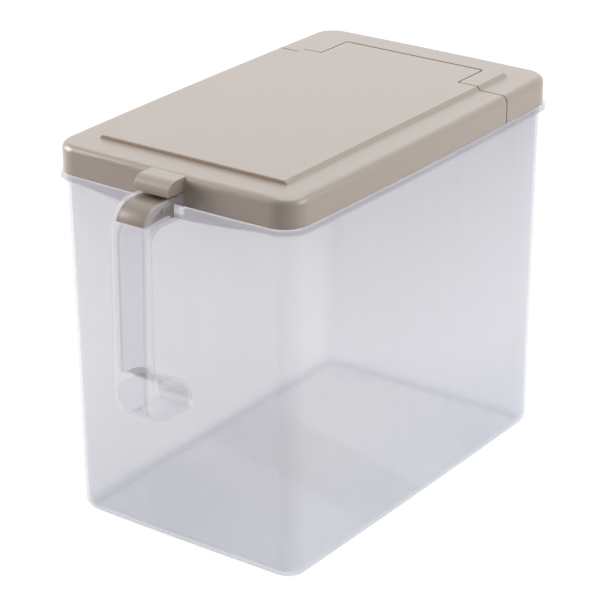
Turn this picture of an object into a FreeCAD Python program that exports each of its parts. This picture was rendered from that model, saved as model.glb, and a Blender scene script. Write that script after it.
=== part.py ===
import FreeCAD, Part
import math
import os
import Sketcher

# A storage container with a two-part lid and a thumb lever in its handle, in millimetres.
# X runs along the front, Y from the front with the handle to the rear, Z up from the table.
# The origin is the middle of the container's flat bottom.

SIZES = (
    ("lid_width", 190.0, "lid across its bowed long sides"),
    ("lid_depth", 301.0, "lid from its bowed front to its bowed rear"),
    ("lid_height", 260.0, "top of the lid's border above the table"),
    ("lid_corner_radius", 17.0, "upright corners of the lid"),
    ("lid_wall", 2.0, "plate and skirt of the lid"),
    ("lid_side_bow", 1.9, "how far the long sides bow out"),
    ("lid_end_bow", 1.5, "how far the front and the rear bow out"),
    ("lid_edge_radius", 4.6, "rounded top edge of the lid"),
    ("skirt_drop", 19.0, "height of the lid's skirt"),
    ("seat_gap", 0.3, "running gap between the rim and the lid"),
    ("ledge_gap", 0.2, "gap between the skirt and the ledge"),
    ("split_setback", 89.3, "line between flap and rear cover, behind the middle"),
    ("split_gap", 1.0, "gap along that line"),
    ("tongue_width", 111.0, "hinge tongue of the flap"),
    ("tongue_reach", 30.2, "tongue behind the split line"),
    ("tongue_corner_radius", 2.0, "rear corners of the tongue"),
    ("tongue_side_gap", 1.0, "gap beside the tongue"),
    ("tongue_tip_gap", 1.6, "gap behind the tongue, which it swings through"),
    ("notch_corner_radius", 2.5, "inner corners of the notch round the tongue"),
    ("panel_width", 141.6, "flat top of the raised panel"),
    ("panel_front_margin", 24.7, "lid's front to the panel"),
    ("panel_front_rise", 2.4, "panel above the border at its front"),
    ("panel_rear_rise", 2.6, "panel above the border at its rear"),
    ("panel_rear_bar", 2.4, "panel behind the notch round the tongue"),
    ("panel_edge_radius", 0.6, "rounded edge of the panel"),
    ("hinge_setback", 14.7, "flap's axis behind the split line"),
    ("hinge_drop", 4.0, "flap's axis below the border's top"),
    ("hinge_pin_radius", 2.0, "trunnions of the flap"),
    ("hinge_rib_length", 14.0, "ribs and lugs that carry the trunnions"),
    ("hinge_rib_depth", 4.4, "ribs and lugs below the axis"),
    ("hinge_rib_wall", 2.0, "ribs of the tongue at the trunnions"),
    ("lug_wall", 2.6, "lugs of the rear cover"),
    ("lug_corner_radius", 3.4, "lower corners of ribs and lugs"),
    ("pin_clearance", 0.08, "radial running clearance of both hinges"),
    ("pin_end_gap", 0.3, "end play of the trunnions"),
    ("flap_rib_wall", 1.6, "stiffening ribs under the flap"),
    ("flap_rib_depth", 3.5, "stiffening ribs below the lid's plate"),
    ("inner_rib_offset", 26.0, "inner ribs from the middle"),
    ("inner_rib_length", 42.0, "inner ribs from end to end"),
    ("inner_rib_margin", 10.5, "inner ribs to the tongue's rear edge"),
    ("outer_rib_offset", 49.0, "outer ribs from the middle"),
    ("outer_rib_length", 32.0, "outer ribs from end to end"),
    ("outer_rib_margin", 18.5, "outer ribs to the tongue's rear edge"),
    ("tab_width", 27.0, "thumb tab of the flap"),
    ("tab_reach", 14.5, "tab in front of the skirt"),
    ("tab_top_drop", 0.3, "top of the tab below the border"),
    ("tab_height", 9.1, "tab from its top to its lower edge"),
    ("tab_nose_radius", 7.5, "rounded front of the tab"),
    ("tab_wall", 2.0, "shell of the tab"),
    ("tab_edge_radius", 0.5, "rounded side edges of the tab"),
    ("strike_rib_wall", 1.5, "ribs in the tab, which the lever pushes"),
    ("strike_rib_offset", 5.0, "strike ribs from the middle"),
    ("body_wall", 2.0, "wall of the container"),
    ("floor_thickness", 2.2, "floor of the container"),
    ("draft_inset", 2.5, "how much narrower each side is at the bottom"),
    ("base_side_bow", 0.9, "bow of the long sides at the bottom"),
    ("base_end_bow", 1.0, "bow of the front and the rear at the bottom"),
    ("base_edge_radius", 9.0, "rounded lower edge"),
    ("flange_overhang", 1.8, "rim flange outside the skirt"),
    ("ledge_thickness", 1.6, "flat ledge of the flange"),
    ("lip_thickness", 1.5, "turned down lip of the flange"),
    ("lip_drop", 3.5, "lip's lower edge below the ledge's top"),
    ("apron_drop", 8.1, "deepest point of the front apron below the ledge's top"),
    ("apron_radius", 492.0, "arched lower edge of the front apron"),
    ("flange_edge_radius", 0.6, "rounded upper edge of the flange"),
    ("rim_edge_radius", 0.7, "rounded top of the rim"),
    ("handle_width", 28.0, "handle from side to side"),
    ("handle_top_drop", 10.4, "top of the handle below the border"),
    ("handle_height", 145.4, "handle from its top to its lower end"),
    ("handle_reach", 37.9, "top of the handle's front from the lid's front"),
    ("handle_splay", 4.8, "how much further out its lower end is"),
    ("handle_rear_gap", 0.8, "handle's upper cheeks to the skirt"),
    ("knuckle_radius", 18.0, "upper front corner of the handle"),
    ("lobe_radius", 22.5, "lower front corner of the handle"),
    ("arm_depth", 15.6, "upper arm of the handle, from top to underside"),
    ("grip_depth", 6.9, "top of the grip from front to rear"),
    ("finger_splay", 1.2, "how much further out its lower end is"),
    ("finger_knuckle_radius", 9.5, "upper corner of the finger opening"),
    ("finger_heel_radius", 3.5, "lower corner of the finger opening"),
    ("lobe_height", 29.8, "lower lobe of the handle at the grip"),
    ("lobe_root_height", 1.2, "upright part of the lobe at the wall"),
    ("lobe_root_depth", 0.25, "lobe's end inside the wall's outer face"),
    ("handle_edge_radius", 2.6, "rounded long edges of the handle"),
    ("finger_edge_radius", 1.0, "rounded long edges of the finger opening"),
    ("handle_wall", 2.0, "cheeks and skins of the handle"),
    ("tray_skin", 1.8, "floor of the tray in the upper arm"),
    ("tray_rear_wall", 1.5, "tray's rear end in front of the flange"),
    ("grip_core_width", 3.2, "core slot down the grip, front to rear"),
    ("grip_core_foot", 6.0, "core slot's end above the finger opening's floor"),
    ("lobe_skin", 4.5, "skin above the pocket of the lobe"),
    ("lobe_mouth_reach", 23.5, "mouth of the lobe's pocket, from the wall"),
    ("lever_side_gap", 0.7, "lever to the cheeks"),
    ("lever_top_recess", 1.8, "lever below the cheeks"),
    ("lever_wall", 2.0, "shell of the lever"),
    ("lever_edge_radius", 0.5, "rounded side edges of the lever"),
    ("lever_brow_setback", 6.6, "lever's upper front corner behind the handle's front"),
    ("lever_brow_radius", 15.8, "that corner's radius"),
    ("lever_lip_setback", 2.7, "lever's lower front edge behind the handle's front"),
    ("lever_lip_drop", 12.7, "that edge below the handle's top"),
    ("lever_seam", 0.7, "gap under that edge"),
    ("lever_nose_reach", 2.6, "lever's rear end from the lid's front"),
    ("lever_pivot_reach", 17.5, "lever's axis from the lid's front"),
    ("lever_pivot_drop", 6.6, "lever's axis below the handle's top"),
    ("lever_pin_radius", 2.0, "trunnions of the lever"),
    ("lever_pin_length", 1.6, "trunnions beyond the lever's sides"),
    ("lever_web_depth", 4.5, "side webs below the lever's axis"),
    ("lever_heel_gap", 0.3, "heel above the tray's floor"),
    ("lever_heel_length", 3.5, "heel that rests on the tray's floor"),
)

PANEL_SLOPE_SHARE = 0.95
PANEL_INSET_SHARE = 0.45
LEVER_BROW_SHARE = 0.7
LEVER_LIP_SHARE = 1.06
TWO = 2.0
HALF = 0.5
ITERATIONS = 40
LEFT_AND_RIGHT = (-1, 1)


class Size:
    """A length with its number and the formula that ties it to the sheet."""

    def __init__(self, number, formula):
        self.number = float(number)
        self.formula = formula

    def joined(self, sign, other, number):
        return Size(number, f"({self.formula} {sign} {as_size(other).formula})")

    def __add__(self, other):
        return self.joined("+", other, self.number + as_size(other).number)

    def __sub__(self, other):
        return self.joined("-", other, self.number - as_size(other).number)

    def __mul__(self, other):
        return self.joined("*", other, self.number * as_size(other).number)

    def __truediv__(self, other):
        return self.joined("/", other, self.number / as_size(other).number)

    def __neg__(self):
        return Size(-self.number, f"(0 - {self.formula})")


def as_size(value):
    """Wraps a plain ratio, and passes a size through."""
    if isinstance(value, Size):
        return value
    return Size(value, f"{value:.12g}")


def root(size):
    """Square root that stays tied to the sheet."""
    return Size(math.sqrt(size.number), f"sqrt({size.formula})")


def least(first, second):
    """The smaller of two sizes."""
    return Size(min(first.number, second.number), f"min({first.formula}; {second.formula})")


ZERO = Size(0.0, "0")


class SizeBook:
    """The sheet's sizes by name."""

    def __init__(self, sheet):
        for row, (name, value, words) in enumerate(SIZES, start=1):
            sheet.set(f"A{row}", words)
            sheet.set(f"B{row}", str(value))
            sheet.setAlias(f"B{row}", name)
            setattr(self, name, Size(value, f"{sheet.Name}.{name}"))


class Outline:
    """A rectangle with bowed sides and rounded corners."""

    def __init__(self, half_width, half_depth, side_radius, end_radius, corner_radius):
        self.half_width = half_width
        self.half_depth = half_depth
        self.side_radius = side_radius
        self.end_radius = end_radius
        self.corner_radius = corner_radius

    def inset(self, distance):
        """The parallel outline further in, or further out where the distance is negative."""
        return Outline(
            self.half_width - distance,
            self.half_depth - distance,
            self.side_radius - distance,
            self.end_radius - distance,
            self.corner_radius - distance,
        )

    def corner_centre(self):
        """Centre of the corner arc, which touches a side arc and an end arc."""
        corner = self.corner_radius.number
        side = self.side_radius.number
        end = self.end_radius.number
        across = self.half_width.number - corner
        along = self.half_depth.number - corner
        for _ in range(ITERATIONS):
            across = self.half_width.number - side + math.sqrt((side - corner) ** 2 - along**2)
            along = self.half_depth.number - end + math.sqrt((end - corner) ** 2 - across**2)
        return across, along


def bow_radius(half_length, bow):
    """Radius of an arc that bows out by the given height over its length."""
    return (half_length * half_length + bow * bow) / (bow * TWO)


def bowed_outline(half_width, half_depth, side_bow, end_bow, corner_radius):
    """Outline from its half sizes and the bows of its sides."""
    return Outline(
        half_width,
        half_depth,
        bow_radius(half_depth, side_bow),
        bow_radius(half_width, end_bow),
        corner_radius,
    )


def origin_plane(body, role):
    """The body's own origin plane of that role."""
    for feature in body.Origin.OriginFeatures:
        if feature.Role == role:
            return feature
    raise ValueError(role)


def new_sketch(body, name, role, offset):
    """An empty sketch on an origin plane, moved along its normal."""
    sketch = body.newObject("Sketcher::SketchObject", name)
    sketch.AttachmentSupport = (origin_plane(body, role), [""])
    sketch.MapMode = "FlatFace"
    sketch.AttachmentOffset = FreeCAD.Placement(
        FreeCAD.Vector(0, 0, offset.number), FreeCAD.Rotation()
    )
    sketch.setExpression("AttachmentOffset.Base.z", offset.formula)
    return sketch


class Bindings:
    """Constraints of one sketch, with the sizes that drive them."""

    def __init__(self, sketch):
        self.sketch = sketch
        self.constraints = []
        self.formulas = {}

    def fixed(self, kind, *places):
        self.constraints.append(Sketcher.Constraint(kind, *places))

    def driven(self, kind, *places, size):
        self.formulas[len(self.constraints)] = size.formula
        self.constraints.append(Sketcher.Constraint(kind, *places, size.number))

    def place(self, geometry, point, across, up):
        """Fixes a point by its two distances from the origin."""
        if across is ZERO:
            self.fixed("PointOnObject", geometry, point, -2)
        else:
            self.driven("DistanceX", -1, 1, geometry, point, size=across)
        if up is ZERO:
            self.fixed("PointOnObject", geometry, point, -1)
        else:
            self.driven("DistanceY", -1, 1, geometry, point, size=up)

    def apply(self):
        self.sketch.addConstraint(self.constraints)
        for index, formula in self.formulas.items():
            self.sketch.setExpression(f"Constraints[{index}]", formula)


def arc_between(centre, radius, start, end):
    """A sketch arc round a centre, from one angle to a larger one."""
    circle = Part.Circle(FreeCAD.Vector(centre[0], centre[1], 0), FreeCAD.Vector(0, 0, 1), radius)
    return Part.ArcOfCircle(circle, start, end)


def outline_sketch(body, name, outline, height):
    """The bowed outline as eight tangent arcs, level at a height."""
    sketch = new_sketch(body, name, "XY_Plane", height)
    across, along = outline.corner_centre()
    side_centre = outline.half_width.number - outline.side_radius.number
    end_centre = outline.half_depth.number - outline.end_radius.number
    side_turn = math.atan2(along, across - side_centre)
    end_turn = math.atan2(along - end_centre, across)
    side = outline.side_radius
    end = outline.end_radius
    corner = outline.corner_radius
    turn = math.pi
    arcs = (
        ((side_centre, 0), side, -side_turn, side_turn),
        ((across, along), corner, side_turn, end_turn),
        ((0, end_centre), end, end_turn, turn - end_turn),
        ((-across, along), corner, turn - end_turn, turn - side_turn),
        ((-side_centre, 0), side, turn - side_turn, turn + side_turn),
        ((-across, -along), corner, turn + side_turn, turn + end_turn),
        ((0, -end_centre), end, turn + end_turn, 2 * turn - end_turn),
        ((across, -along), corner, 2 * turn - end_turn, 2 * turn - side_turn),
    )
    bindings = Bindings(sketch)
    for centre, radius, start, finish in arcs:
        sketch.addGeometry(arc_between(centre, radius.number, start, finish))
    for index in range(len(arcs)):
        bindings.fixed("Tangent", index, 2, (index + 1) % len(arcs), 1)
    for index, (_, radius, _, _) in enumerate(arcs):
        bindings.driven("Radius", index, size=radius)
    bindings.fixed("PointOnObject", 0, 3, -1)
    bindings.fixed("PointOnObject", 4, 3, -1)
    bindings.fixed("PointOnObject", 2, 3, -2)
    bindings.fixed("PointOnObject", 6, 3, -2)
    bindings.driven("DistanceX", 0, 3, -1, 1, size=side - outline.half_width)
    bindings.driven("DistanceX", -1, 1, 4, 3, size=side - outline.half_width)
    bindings.driven("DistanceY", 2, 3, -1, 1, size=end - outline.half_depth)
    bindings.driven("DistanceY", -1, 1, 6, 3, size=end - outline.half_depth)
    bindings.apply()
    return sketch


def profile_sketch(body, name, role, corners, offset=ZERO):
    """A closed path of straight runs through corners, each sharp or rounded.

    A corner is (across, up) or (across, up, radius), in the plane's own directions.
    """
    sketch = new_sketch(body, name, role, offset)
    bindings = Bindings(sketch)
    count = len(corners)
    points = [FreeCAD.Vector(corner[0].number, corner[1].number, 0) for corner in corners]
    runs = [(points[(index + 1) % count] - points[index]).normalize() for index in range(count)]
    trims = []
    for index, corner in enumerate(corners):
        turn = runs[index - 1].getAngle(runs[index])
        trims.append(corner[2].number * math.tan(turn / 2) if len(corner) == 3 else 0.0)
    for index in range(count):
        after = (index + 1) % count
        start = points[index] + runs[index] * trims[index]
        end = points[after] - runs[index] * trims[after]
        sketch.addGeometry(Part.LineSegment(start, end))
    for index, corner in enumerate(corners):
        before = (index - 1) % count
        if len(corner) == 2:
            bindings.fixed("Coincident", before, 2, index, 1)
            bindings.place(index, 1, corner[0], corner[1])
            continue
        start = points[index] - runs[before] * trims[index]
        side = FreeCAD.Vector(0, 0, 1).cross(runs[before])
        left_turn = runs[before].cross(runs[index]).z > 0
        centre = start + side * (corner[2].number if left_turn else -corner[2].number)
        finish = points[index] + runs[index] * trims[index]
        angles = [math.atan2(end.y - centre.y, end.x - centre.x) for end in (start, finish)]
        if not left_turn:
            angles.reverse()
        if angles[1] < angles[0]:
            angles[1] += 2 * math.pi
        arc = sketch.addGeometry(arc_between((centre.x, centre.y), corner[2].number, *angles))
        first, last = (1, 2) if left_turn else (2, 1)
        bindings.fixed("Tangent", before, 2, arc, first)
        bindings.fixed("Tangent", arc, last, index, 1)
        bindings.driven("Radius", arc, size=corner[2])
        mark = sketch.addGeometry(Part.Point(points[index]), True)
        bindings.fixed("PointOnObject", mark, 1, before)
        bindings.fixed("PointOnObject", mark, 1, index)
        bindings.place(mark, 1, corner[0], corner[1])
    bindings.apply()
    return sketch


def box_corners(left, right, low, high):
    """Corners of an upright box in a sketch."""
    return [(left, low), (right, low), (right, high), (left, high)]


def circle_sketch(body, name, across, up, radius, offset=ZERO):
    """A circle seen along the lid's width."""
    sketch = new_sketch(body, name, "YZ_Plane", offset)
    centre = FreeCAD.Vector(across.number, up.number, 0)
    sketch.addGeometry(Part.Circle(centre, FreeCAD.Vector(0, 0, 1), radius.number))
    bindings = Bindings(sketch)
    bindings.driven("Radius", 0, size=radius)
    bindings.place(0, 3, across, up)
    bindings.apply()
    return sketch


def extrude(body, kind, name, sketch, length=None, symmetric=False, backwards=False):
    """A pad or a pocket of that length, or a pocket right through."""
    feature = body.newObject(f"PartDesign::{kind}", name)
    feature.Profile = sketch
    if length is None:
        feature.Type = "ThroughAll"
    else:
        feature.Length = length.number
        feature.setExpression("Length", length.formula)
    if symmetric:
        feature.SideType = "Symmetric"
    feature.Reversed = backwards
    sketch.Visibility = False
    return feature


def loft(body, kind, name, first, last):
    """A straight skin between two sketches."""
    feature = body.newObject(f"PartDesign::{kind}", name)
    feature.Profile = first
    feature.Sections = [last]
    feature.Ruled = True
    return feature


def round_edges(body, name, radius, test):
    """Rounds the edges of the solid so far that pass the test."""
    body.Document.recompute()
    base = body.Tip
    names = [
        f"Edge{index}" for index, edge in enumerate(base.Shape.Edges, start=1) if test(edge)
    ]
    feature = body.newObject("PartDesign::Fillet", name)
    feature.Base = (base, names)
    feature.Radius = radius.number
    feature.setExpression("Radius", radius.formula)
    return feature


def near(first, second):
    """Whether two numbers are the same length."""
    return math.isclose(first, second, rel_tol=1e-5, abs_tol=1e-5)


def level_at(height):
    """Test for edges that lie level at a height."""

    def test(edge):
        box = edge.BoundBox
        return near(box.ZMin, height.number) and near(box.ZMax, height.number)

    return test


def beside_middle(distance):
    """Test for edges that lie upright at a distance from the middle plane."""

    def test(edge):
        box = edge.BoundBox
        return near(abs(box.XMin), distance.number) and near(box.XMin, box.XMax)

    return test


class Places:
    """Heights and distances that several pieces share."""

    def __init__(self, size):
        self.lid = bowed_outline(
            size.lid_width / TWO,
            size.lid_depth / TWO,
            size.lid_side_bow,
            size.lid_end_bow,
            size.lid_corner_radius,
        )
        self.front = -size.lid_depth / TWO
        self.skirt_low = size.lid_height - size.skirt_drop
        self.plate_low = size.lid_height - size.lid_wall
        self.rim_top = self.plate_low - size.seat_gap
        self.rim = self.lid.inset(size.lid_wall + size.seat_gap)
        self.base = bowed_outline(
            self.rim.half_width - size.draft_inset,
            self.rim.half_depth - size.draft_inset,
            size.base_side_bow,
            size.base_end_bow,
            self.rim.corner_radius,
        )
        self.ledge_top = self.skirt_low - size.ledge_gap
        self.lip_low = self.ledge_top - size.lip_drop
        self.apron_low = self.ledge_top - size.apron_drop
        self.flange = self.lid.inset(-size.flange_overhang)
        self.overrun = size.skirt_drop
        self.split_front = size.split_setback - size.split_gap / TWO
        self.split_rear = size.split_setback + size.split_gap / TWO
        self.tongue_half = size.tongue_width / TWO
        self.tongue_tip = size.split_setback + size.tongue_reach
        self.notch_half = self.tongue_half + size.tongue_side_gap
        self.notch_rear = self.tongue_tip + size.tongue_tip_gap
        self.panel_rear = self.notch_rear + size.panel_rear_bar
        self.hinge_y = size.split_setback + size.hinge_setback
        self.hinge_z = size.lid_height - size.hinge_drop
        self.handle_top = size.lid_height - size.handle_top_drop
        self.handle_low = self.handle_top - size.handle_height
        self.finger_top = self.handle_top - size.arm_depth
        self.finger_low = self.handle_low + size.lobe_height
        self.tray_floor = self.finger_top + size.tray_skin
        self.cheek_inner = size.handle_width / TWO - size.handle_wall
        self.lever_half = self.cheek_inner - size.lever_side_gap
        self.lever_top = self.handle_top - size.lever_top_recess
        self.lever_lip = self.handle_top - size.lever_lip_drop
        self.web_top = self.lever_lip - size.lever_seam
        self.pivot_y = self.front - size.lever_pivot_reach
        self.pivot_z = self.handle_top - size.lever_pivot_drop
        self.tab_top = size.lid_height - size.tab_top_drop
        self.tab_low = self.tab_top - size.tab_height
        self.tab_front = self.front - size.tab_reach

    def wall_at(self, height):
        """The front wall's outer face at a height, in the middle of the front."""
        share = height / self.rim_top
        return -(self.base.half_depth + (self.rim.half_depth - self.base.half_depth) * share)


def make_flange(body, size, at):
    """Rim flange: a ledge with a lip that hangs down, deeper in an arch on the front."""
    disc = outline_sketch(body, "flange_outline", at.flange, at.apron_low)
    extrude(body, "Pad", "flange", disc, size.apron_drop)
    round_edges(body, "flange_rounding", size.flange_edge_radius, level_at(at.ledge_top))
    hollow = outline_sketch(body, "lip_outline", at.flange.inset(size.lip_thickness), at.apron_low)
    depth = size.apron_drop - size.ledge_thickness
    extrude(body, "Pocket", "flange_hollow", hollow, depth, backwards=True)

    far = at.flange.half_width + at.overrun
    low = at.apron_low - at.overrun
    rear = box_corners(-far, far, low, at.lip_low)
    rear_sketch = profile_sketch(body, "rear_lip_line", "XZ_Plane", rear)
    extrude(body, "Pocket", "rear_lip_trim", rear_sketch)
    arch_sketch = apron_sketch(body, size, at, far, low)
    extrude(body, "Pocket", "front_lip_trim", arch_sketch, backwards=True)


def apron_sketch(body, size, at, far, low):
    """What is cut from under the front lip, with the apron's arch as its upper side."""
    sketch = new_sketch(body, "apron_line", "XZ_Plane", ZERO)
    rise = at.lip_low - at.apron_low
    reach = root(size.apron_radius * rise * TWO - rise * rise)
    centre = at.apron_low + size.apron_radius
    turn = math.asin(reach.number / size.apron_radius.number)
    down = -math.pi / 2
    corners = [(-reach, at.lip_low), (-far, at.lip_low), (-far, low), (far, low)]
    corners += [(far, at.lip_low), (reach, at.lip_low)]
    points = [FreeCAD.Vector(across.number, up.number, 0) for across, up in corners]
    for start, end in zip(points, points[1:]):
        sketch.addGeometry(Part.LineSegment(start, end))
    arch = sketch.addGeometry(
        arc_between((0, centre.number), size.apron_radius.number, down - turn, down + turn)
    )
    bindings = Bindings(sketch)
    for index in range(arch - 1):
        bindings.fixed("Coincident", index, 2, index + 1, 1)
    bindings.fixed("Coincident", arch, 1, 0, 1)
    bindings.fixed("Coincident", arch, 2, arch - 1, 2)
    for index, (across, up) in enumerate(corners[:-1]):
        bindings.place(index, 1, across, up)
    bindings.driven("DistanceY", -1, 1, arch - 1, 2, size=at.lip_low)
    bindings.driven("Radius", arch, size=size.apron_radius)
    bindings.fixed("PointOnObject", arch, 3, -2)
    bindings.apply()
    return sketch


def make_handle(body, size, at):
    """Loop handle: an upper arm, a grip and a lower lobe that curves in to the wall."""
    brow = at.front - size.handle_reach
    foot = brow - size.handle_splay
    cheek_rear = at.front - size.handle_rear_gap
    inside = -(at.base.half_depth - size.body_wall * TWO)
    arm_root = at.ledge_top - size.ledge_thickness / TWO
    lobe_root = at.wall_at(at.handle_low) + size.lobe_root_depth
    finger_front = brow + size.grip_depth
    finger_foot = finger_front - size.finger_splay
    arch_room = (lobe_root - finger_foot) - size.finger_heel_radius
    arch_radius = least(size.lobe_height - size.lobe_root_height, arch_room)
    corners = [
        (lobe_root, at.handle_low),
        (foot, at.handle_low, size.lobe_radius),
        (brow, at.handle_top, size.knuckle_radius),
        (cheek_rear, at.handle_top),
        (cheek_rear, arm_root),
        (inside, arm_root),
        (inside, at.finger_top),
        (finger_front, at.finger_top, size.finger_knuckle_radius),
        (finger_foot, at.finger_low, size.finger_heel_radius),
        (lobe_root, at.finger_low, arch_radius),
    ]
    sketch = profile_sketch(body, "handle_profile", "YZ_Plane", corners)
    extrude(body, "Pad", "handle", sketch, size.handle_width, symmetric=True)

    half = size.handle_width.number / 2
    grip_middle = (finger_front.number + brow.number) / 2
    middle_z = (at.finger_low.number + at.finger_top.number) / 2

    def long_front_edge(edge):
        box = edge.BoundBox
        beside = near(abs(box.XMin), half) and near(box.XMin, box.XMax)
        return beside and box.YMax < grip_middle and box.ZMin < middle_z < box.ZMax

    def long_finger_edge(edge):
        box = edge.BoundBox
        beside = near(abs(box.XMin), half) and near(box.XMin, box.XMax)
        crosses = box.ZMin < middle_z < box.ZMax
        return beside and crosses and grip_middle < box.YMin and box.YMax < at.front.number

    round_edges(body, "handle_rounding", size.handle_edge_radius, long_front_edge)
    round_edges(body, "finger_rounding", size.finger_edge_radius, long_finger_edge)


def hollow_handle(body, size, at):
    """Tray for the lever, core slot down the grip, pocket in the lobe and lever sockets."""
    tray_rear = at.front - size.flange_overhang - size.tray_rear_wall
    grip_front = at.front - size.handle_reach
    slot_rear = grip_front + size.grip_depth - size.handle_wall
    slot_front = slot_rear - size.grip_core_width
    slot_low = at.finger_low + size.grip_core_foot
    beyond = grip_front - size.handle_splay - at.overrun
    above = at.handle_top + at.overrun
    corners = [
        (at.front, above),
        (at.front, at.ledge_top),
        (tray_rear, at.ledge_top),
        (tray_rear, at.tray_floor),
        (slot_rear, at.tray_floor, size.finger_knuckle_radius + size.tray_skin),
        (slot_rear - size.finger_splay, slot_low),
        (slot_front - size.finger_splay, slot_low),
        (slot_front, at.web_top),
        (beyond, at.web_top),
        (beyond, above),
    ]
    sketch = profile_sketch(body, "tray_profile", "YZ_Plane", corners)
    extrude(body, "Pocket", "tray", sketch, at.cheek_inner * TWO, symmetric=True)

    wall = at.wall_at(at.handle_low)
    pocket_rear = wall - size.handle_wall
    pocket_front = grip_front - size.handle_splay + size.handle_wall * TWO
    pocket_top = at.finger_low - size.lobe_skin
    pocket_low = at.handle_low + size.handle_wall
    below = at.handle_low - at.overrun
    mouth_front = wall - size.lobe_mouth_reach
    arch_room = pocket_rear - pocket_front
    arch_radius = least(pocket_top - at.handle_low, arch_room * HALF + size.handle_wall)
    corners = [
        (pocket_rear, below),
        (pocket_rear, pocket_top, arch_radius),
        (pocket_front, pocket_top, size.finger_heel_radius),
        (pocket_front, pocket_low, size.lobe_radius - size.handle_wall * TWO),
        (mouth_front, pocket_low),
        (mouth_front, below),
    ]
    sketch = profile_sketch(body, "lobe_pocket_profile", "YZ_Plane", corners)
    extrude(body, "Pocket", "lobe_pocket", sketch, at.cheek_inner * TWO, symmetric=True)

    radius = size.lever_pin_radius + size.pin_clearance
    sketch = circle_sketch(body, "lever_socket_circle", at.pivot_y, at.pivot_z, radius)
    reach = at.lever_half + size.lever_pin_length + size.pin_end_gap
    extrude(body, "Pocket", "lever_sockets", sketch, reach * TWO, symmetric=True)


def make_container(doc, size, at):
    """Bin, rim flange and handle, one moulding."""
    body = doc.addObject("PartDesign::Body", "container")
    make_flange(body, size, at)
    bottom = outline_sketch(body, "base_outline", at.base, ZERO)
    top = outline_sketch(body, "rim_outline", at.rim, at.rim_top)
    loft(body, "AdditiveLoft", "bin", bottom, top)
    make_handle(body, size, at)
    floor = outline_sketch(body, "floor_outline", at.base.inset(size.body_wall), size.floor_thickness)
    mouth = outline_sketch(body, "mouth_outline", at.rim.inset(size.body_wall), at.rim_top)
    loft(body, "SubtractiveLoft", "interior", floor, mouth)
    round_edges(body, "rim_rounding", size.rim_edge_radius, level_at(at.rim_top))
    inner_radius = size.base_edge_radius - size.body_wall
    round_edges(body, "floor_rounding", inner_radius, level_at(size.floor_thickness))
    round_edges(body, "base_rounding", size.base_edge_radius, level_at(ZERO))
    hollow_handle(body, size, at)
    return body


def panel_section(body, name, size, place, rise, inset, low):
    """Cross section of the raised panel, with its sloping sides."""
    top = size.lid_height + rise - inset
    half_top = size.panel_width / TWO - inset * PANEL_INSET_SHARE
    half_low = half_top + (top - low) * PANEL_SLOPE_SHARE
    corners = [(-half_low, low), (half_low, low), (half_top, top), (-half_top, top)]
    return profile_sketch(body, name, "XZ_Plane", corners, -place)


def make_lid_shell(body, size, at, with_tab):
    """The lid as if it were one piece: border, skirt, raised panel and, on the flap, the tab."""
    outer = outline_sketch(body, "lid_outline", at.lid, at.skirt_low)
    extrude(body, "Pad", "lid_block", outer, size.skirt_drop)
    round_edges(body, "lid_rounding", size.lid_edge_radius, level_at(size.lid_height))
    if with_tab:
        behind = at.front + size.lid_wall * TWO
        corners = [
            (behind, at.tab_low),
            (behind, at.tab_top),
            (at.tab_front, at.tab_top, size.tab_nose_radius),
            (at.tab_front, at.tab_low),
        ]
        sketch = profile_sketch(body, "tab_profile", "YZ_Plane", corners)
        extrude(body, "Pad", "tab", sketch, size.tab_width, symmetric=True)
        beside = beside_middle(size.tab_width / TWO)

        def nose_edge(edge):
            return beside(edge) and near(edge.BoundBox.YMin, at.tab_front.number)

        round_edges(body, "tab_rounding", size.tab_edge_radius, nose_edge)

    panel_front = at.front + size.panel_front_margin
    embedded = size.lid_height - size.lid_wall / TWO
    front = panel_section(
        body, "panel_front_section", size, panel_front, size.panel_front_rise, ZERO, embedded
    )
    rear = panel_section(
        body, "panel_rear_section", size, at.panel_rear, size.panel_rear_rise, ZERO, embedded
    )
    loft(body, "AdditiveLoft", "panel", front, rear)

    def panel_edge(edge):
        box = edge.BoundBox
        raised = box.ZMin > size.lid_height.number + size.panel_front_rise.number / 2
        return raised and edge.Length > size.panel_front_margin.number

    round_edges(body, "panel_rounding", size.panel_edge_radius, panel_edge)

    inner = outline_sketch(body, "skirt_outline", at.lid.inset(size.lid_wall), at.skirt_low)
    depth = size.skirt_drop - size.lid_wall
    extrude(body, "Pocket", "lid_hollow", inner, depth, backwards=True)
    wall = size.lid_wall
    low = at.plate_low - size.lid_wall
    front_place = panel_front + wall
    rear_place = at.tongue_tip - wall
    front = panel_section(
        body, "hollow_front_section", size, front_place, size.panel_front_rise, wall, low
    )
    rear = panel_section(
        body, "hollow_rear_section", size, rear_place, size.panel_rear_rise, wall, low
    )
    loft(body, "SubtractiveLoft", "panel_hollow", front, rear)


def side_plate(body, name, corners, face, thickness, side, outwards):
    """An upright plate beside the middle, with one face at a distance from it."""
    offset = face if side > 0 else -face
    sketch = profile_sketch(body, f"{name}_profile", "YZ_Plane", corners, offset)
    extrude(body, "Pad", name, sketch, thickness, backwards=(side > 0) != outwards)


def hinge_plate_corners(size, at):
    """Shape of the ribs and lugs that hold the flap's trunnions."""
    half = size.hinge_rib_length / TWO
    low = at.hinge_z - size.hinge_rib_depth
    high = size.lid_height + size.panel_front_rise
    return [
        (at.hinge_y - half, high),
        (at.hinge_y - half, low, size.lug_corner_radius),
        (at.hinge_y + half, low, size.lug_corner_radius),
        (at.hinge_y + half, high),
    ]


def side_name(side):
    """Left or right, as seen from the front."""
    return "right" if side > 0 else "left"


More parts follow.
